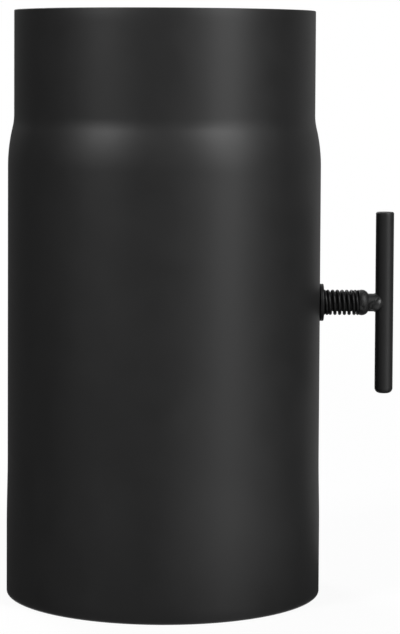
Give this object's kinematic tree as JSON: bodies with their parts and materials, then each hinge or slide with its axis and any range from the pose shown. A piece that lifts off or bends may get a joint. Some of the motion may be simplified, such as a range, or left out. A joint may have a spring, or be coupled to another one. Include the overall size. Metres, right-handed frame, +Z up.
{
  "type": "stove pipe damper",
  "caption": "Black steel flue pipe with a socket foot and a spigot top, and a round plate inside on a spring-loaded axle with a T handle that throttles the draught.",
  "frame": {"origin": "centre of the socket's mouth, on the pipe's axis, in the plane that the foot rim stands on", "axes": "+Z up along the pipe from socket to spigot; +X along the axle towards the handle; -Y towards a viewer who has the handle on the right"},
  "size_m": [0.1662, 0.1348, 0.25],
  "materials": {
    "stove_paint": "matte black heat-proof paint with a fine grain",
    "black_hardware": "satin black painted bar",
    "spring_steel": "oil-blackened spring wire",
    "mill_scale_steel": "bare hot-rolled sheet with mill scale",
    "zinc_hardware": "dull zinc plating"
  },
  "bodies": {
    "pipe": {"pipe_shell": "stove_paint", "outer_washer": "black_hardware", "inner_washer": "zinc_hardware"},
    "damper": {"axle": "black_hardware", "handle_crossbar": "black_hardware", "handle_weld": "black_hardware", "pressure_spring": "spring_steel", "split_pin": "zinc_hardware", "damper_plate": "mill_scale_steel", "plate_screws": "zinc_hardware", "lock_washers": "zinc_hardware"}
  },
  "joints": [
    {"name": "damper_turn", "type": "hinge", "parent": "pipe", "child": "damper", "pos_m": [0, 0, 0.125], "axis": [1, 0, 0], "continuous": true}
  ]
}
